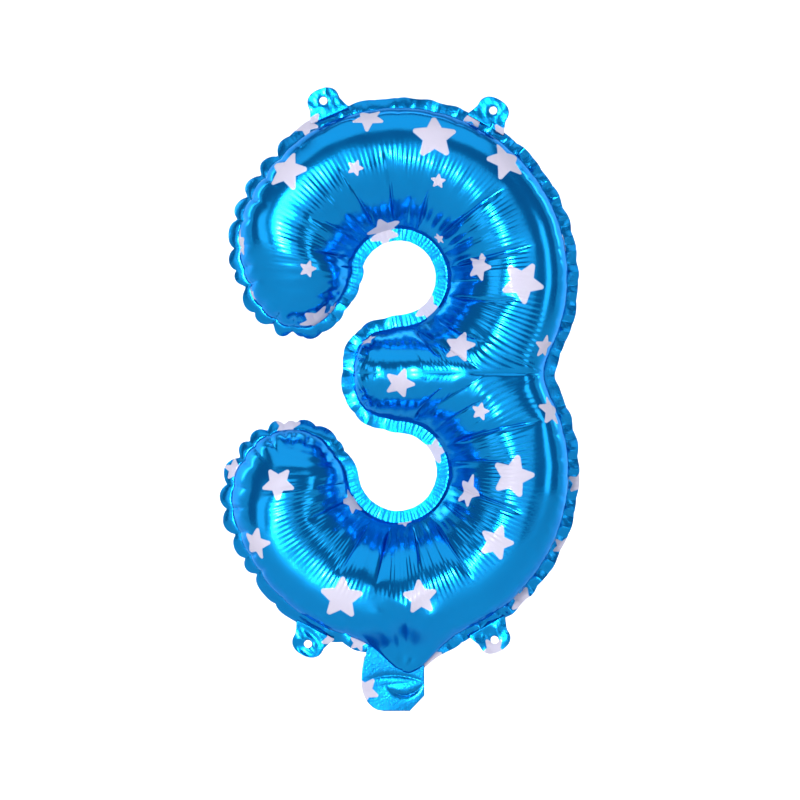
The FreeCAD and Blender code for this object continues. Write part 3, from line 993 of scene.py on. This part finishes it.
def star_mask(nodes):
    """1 inside a rounded five-pointed star of radius 1 about the origin of the star layer, 0 outside."""
    times, plus, minus = (partial(nodes.math, kind) for kind in ("MULTIPLY", "ADD", "SUBTRACT"))
    uv = nodes.add("ShaderNodeUVMap", uv_map="star").outputs["UV"]
    p, q = nodes.put(nodes.add("ShaderNodeSeparateXYZ"), {0: uv}).outputs[:2]

    # Fold the plane onto half a point of the star.
    radius = nodes.math("SQRT", plus(times(p, p), times(q, q)))
    fifth = 2 * math.pi / 5
    turn = nodes.math("FLOORED_MODULO", plus(nodes.math("ARCTAN2", p, q), fifth / 2 + 4 * fifth), fifth)
    fold = nodes.math("ABSOLUTE", minus(turn, fifth / 2))
    x = times(radius, nodes.math("COSINE", fold))
    y = times(radius, nodes.math("SINE", fold))

    # Distance to the side that runs from the point's tip to the notch, less than 0 inside.
    tip = 1 - STAR_ROUND
    notch_x, notch_y = tip * STAR_INNER * math.cos(fifth / 2), tip * STAR_INNER * math.sin(fifth / 2)
    size = math.hypot(notch_x - tip, notch_y)
    side_x, side_y = (notch_x - tip) / size, notch_y / size
    from_x = minus(x, tip)
    along = plus(times(from_x, side_x), times(y, side_y))
    along = nodes.math("MINIMUM", nodes.math("MAXIMUM", along, 0.0), size)
    gap_x, gap_y = minus(from_x, times(along, side_x)), minus(y, times(along, side_y))
    gap = nodes.math("SQRT", plus(times(gap_x, gap_x), times(gap_y, gap_y)))
    cross = minus(times(from_x, side_y), times(y, side_x))
    node = nodes.add("ShaderNodeMapRange", interpolation_type="SMOOTHSTEP")
    return nodes.put(node, {
        "Value": times(gap, nodes.math("SIGN", cross)),
        "From Min": STAR_ROUND + STAR_EDGE,
        "From Max": STAR_ROUND - STAR_EDGE,
        "To Min": 0.0,
        "To Max": 1.0,
    }).outputs["Result"]


FOIL = linear("0893d3")
FOIL_DEEP = linear("078ccf")
EDGE_TINT = linear("4cc0f4")
STAR_INK = linear("c4b9c4")


def foil_material(name, roughness, bump, colour=FOIL):
    """Coloured metal foil, finely crinkled, with pale matt stars printed on it."""
    nodes = Nodes(name)
    coords = nodes.add("ShaderNodeTexCoord").outputs["Object"]
    tint = nodes.mix(nodes.noise(coords, 35), colour, darker(FOIL_DEEP, 0.96))
    rough = nodes.math("ADD", nodes.math("MULTIPLY", nodes.noise(coords, 120), 0.07), roughness)
    mask = star_mask(nodes)
    crinkle = nodes.put(nodes.add("ShaderNodeBump"), {
        "Strength": bump, "Distance": 0.0004, "Height": nodes.noise(coords, 900, 4.0)})
    nodes.put(nodes.shader, {
        "Base Color": nodes.mix(mask, tint, STAR_INK),
        "Metallic": nodes.math("SUBTRACT", 1.0, nodes.math("MULTIPLY", mask, 0.92)),
        "Roughness": nodes.math("ADD", rough, nodes.math("MULTIPLY", mask, 0.38)),
        "Specular Tint": EDGE_TINT,
        "Coat Weight": 0.13,
        "Coat Roughness": 0.12,
        "Normal": crinkle.outputs["Normal"],
    })
    return nodes.material


def film_material(name):
    """Clear milky valve film."""
    nodes = Nodes(name)
    coords = nodes.add("ShaderNodeTexCoord").outputs["Object"]
    nodes.put(nodes.shader, {
        "Base Color": nodes.mix(nodes.noise(coords, 60), linear("e4eaf2"), linear("cdd8e6")),
        "Roughness": nodes.math("ADD", nodes.math("MULTIPLY", nodes.noise(coords, 200), 0.15), 0.25),
        "Transmission Weight": 0.6,
        "Alpha": 0.85,
    })
    return nodes.material


def paint(obj, material):
    obj.data.materials.clear()
    obj.data.materials.append(material)


panel_foil = foil_material("foil_panel", 0.15, 0.08)
margin_foil = foil_material("foil_margin", 0.20, 0.30, linear("0a88c8"))
tab_foil = foil_material("foil_tab", 0.22, 0.35)
# The tail and its welds get a darker blue than the panels: painted shade, standing for the tail reflecting
# less light, though the real tail is the same foil.
tail_foil_painted_shade = foil_material("foil_tail", 0.24, 0.35, linear("0a76b0"))
film = film_material("valve_film")

# ---- pieces
back_stars = scattered_stars(30, 4)
front_panel = panel_mesh("panel_front", 1, FRONT_STARS)
paint(front_panel, panel_foil)
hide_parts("front_panel")
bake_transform(front_panel)

back_panel = panel_mesh("panel_back", -1, back_stars)
paint(back_panel, panel_foil)
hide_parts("back_panel")
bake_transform(back_panel)

margin = sheet_mesh("welded_margin", margin_grid(), MARGIN_THICK, True, MARGIN_STARS, smooth=False)
paint(margin, margin_foil)
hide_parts("perimeter_seam")
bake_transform(margin)

# Name, middle of the fold, hole, direction along the fold, seed and crumpling.
TABS = [
    ("tab_top_left", (-39.228, 157.732), (-42.120, 164.543), (0.9205, 0.3907), 31, 0.5),
    ("tab_top_right", (47.630, 152.799), (51.274, 159.240), (0.8704, -0.4924), 37, 0.45),
    ("tab_bottom_left", (-47.175, -127.625), (-50.592, -134.188), (0.8870, -0.4617), 41, 1.8),
    ("tab_bottom_right", (48.375, -125.540), (52.075, -131.948), (0.8660, 0.5), 43, 1.3),
]
for name, fold, hole, along, seed, crumple in TABS:
    tab, root, out = tab_piece("hanging_" + name, fold, hole, along, seed, crumple)
    paint(tab, tab_foil)
    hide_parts(name)
    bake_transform(tab)

for name, shift in (("tail_front_layer", -0.6), ("tail_back_layer", 0.6)):
    grid = tail_grid(TAIL_HALF, TAIL_TOP, TAIL_BOTTOM, shift, True)
    layer = sheet_mesh("foil_" + name, grid, LAYER_THICK, False, TAIL_STARS)
    paint(layer, tail_foil_painted_shade)
    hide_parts(name)
    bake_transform(layer)

for side, turn in (("left", -1), ("right", 1)):
    grid = tail_grid(WELD_HALF, -141, -160, 0, False, 6, 40, TAIL_X + turn * (TAIL_HALF - WELD_IN))
    weld = sheet_mesh("tail_weld_" + side, grid, WELD_THICK, False, None)
    paint(weld, tail_foil_painted_shade)
    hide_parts("tail_side_welds")
    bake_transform(weld)

for name, shift in (("tail_valve_front_film", -0.25), ("tail_valve_back_film", 0.25)):
    grid = tail_grid(VALVE_HALF, -140, -166, shift, False, 24, 48)
    strip = sheet_mesh("film_" + name, grid, FILM_THICK, False, None)
    paint(strip, film)
    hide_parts(name)
    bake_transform(strip)

for name in ("valve_neck_film", "valve_back_film", "valve_front_film"):
    paint(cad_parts[name], film)

# ---- floor, light and camera
FLOOR_Z = -0.32
CAMERA_AWAY = 1.8
VIEW_SIZE = 0.44


def plain_material(name, colour, roughness):
    nodes = Nodes(name)
    coords = nodes.add("ShaderNodeTexCoord").outputs["Object"]
    tint = nodes.mix(nodes.noise(coords, 3), colour, darker(colour, 0.98))
    nodes.put(nodes.shader, {"Base Color": tint, "Roughness": roughness})
    return nodes.material


def backdrop():
    """Round floor that sweeps up into a curved wall behind the balloon."""
    radius, bend, wall_top = 2.9, 0.8, 3.2
    profile = [(0.0, 0.0), (radius - bend, 0.0)]
    for turn in np.linspace(0, 90, 19)[1:]:
        angle = math.radians(turn)
        profile.append((radius - bend + bend * math.sin(angle), bend - bend * math.cos(angle)))
    profile.append((radius, wall_top))
    turns = np.radians(np.linspace(0, 360, 97))[:-1]
    verts, faces = [], []
    for turn in turns:
        for away, height in profile:
            verts.append((away * math.cos(turn) / MM, away * math.sin(turn) / MM, (height + FLOOR_Z) / MM))
    for i, turn in enumerate(turns):
        after = (i + 1) % len(turns)
        behind = math.sin(turn + math.pi / len(turns)) > -0.05
        for k in range(len(profile) - 1 if behind else 1):
            a, b = i * len(profile) + k, after * len(profile) + k
            faces.append([a, a + 1, b + 1, b])
    obj = add_mesh("backdrop", np.array(verts), np.array(faces))
    paint(obj, plain_material("studio_floor", (0.74, 0.74, 0.74, 1.0), 0.9))
    obj.data.materials.append(plain_material("studio_wall", (0.86, 0.86, 0.86, 1.0), 0.9))
    heights = np.array([poly.center.z for poly in obj.data.polygons])
    obj.data.polygons.foreach_set("material_index", (heights > FLOOR_Z + 0.002).astype(np.int32))


def soft_box(name, place, target, width, height, power, spread=180):
    data = bpy.data.lights.new(name, "AREA")
    data.shape = "RECTANGLE"
    data.size, data.size_y = width, height
    data.energy = power
    data.spread = math.radians(spread)
    lamp = bpy.data.objects.new(name, data)
    bpy.context.scene.collection.objects.link(lamp)
    lamp.location = place
    aim = Vector(target) - Vector(place)
    lamp.rotation_euler = aim.to_track_quat("-Z", "Y").to_euler()


def studio_world():
    """Dim bluish surroundings that the camera itself sees as white."""
    world = bpy.data.worlds.new("studio")
    bpy.context.scene.world = world
    world.use_nodes = True
    tree = world.node_tree
    ambient = tree.nodes["Background"]
    ambient.inputs["Color"].default_value = (0.45, 0.68, 1.0, 1.0)
    ambient.inputs["Strength"].default_value = 0.40
    pale = tree.nodes.new("ShaderNodeBackground")
    pale.inputs["Color"].default_value = (1.0, 1.0, 1.0, 1.0)
    seen = tree.nodes.new("ShaderNodeLightPath")
    choose = tree.nodes.new("ShaderNodeMixShader")
    sources = (seen.outputs["Is Camera Ray"], ambient.outputs[0], pale.outputs[0])
    for source, slot in zip(sources, choose.inputs):
        tree.links.new(source, slot)
    tree.links.new(choose.outputs[0], tree.nodes["World Output"].inputs["Surface"])


backdrop()
soft_box("wall_left", (-2.0, 1.0, 1.3), (-0.5, 2.9, 1.0), 1.2, 1.8, 27)
soft_box("wall_right", (2.0, 1.0, 1.3), (0.5, 2.9, 1.0), 1.2, 1.8, 27)
soft_box("ceiling", (0, 2.1, 2.75), (0, 2.1, 0), 4.0, 1.4, 27, 80)
soft_box("front", (-0.1, -2.3, 0.1), (0, 0, 0), 1.4, 1.2, 4.2)
soft_box("overhead", (0, -0.6, 2.0), (0, 0, 0), 3.0, 2.6, 22)
soft_box("key_halo", (-0.50, -2.0, 0.10), (0, 0, 0), 0.34, 0.8, 9)
soft_box("key_core", (-0.55, -1.97, 0.10), (0, 0, 0), 0.10, 0.30, 21)
soft_box("side_left", (-1.5, -1.4, 0.1), (0, 0, 0), 0.8, 1.2, 4.0)
soft_box("strip_right", (1.6, -1.5, 0.2), (0, 0, 0), 0.6, 1.2, 4.5)

studio_world()

camera_data = bpy.data.cameras.new("camera")
camera_data.sensor_width = 36.0
camera_data.lens = 36.0 * CAMERA_AWAY / VIEW_SIZE
camera_data.clip_start = 0.05
camera_data.clip_end = 30.0
camera = bpy.data.objects.new("camera", camera_data)
bpy.context.scene.collection.objects.link(camera)
camera.location = (0, -CAMERA_AWAY, 0)
camera.rotation_euler = (math.radians(90), 0, 0)
bpy.context.scene.camera = camera
bpy.context.scene.view_settings.view_transform = "Standard"
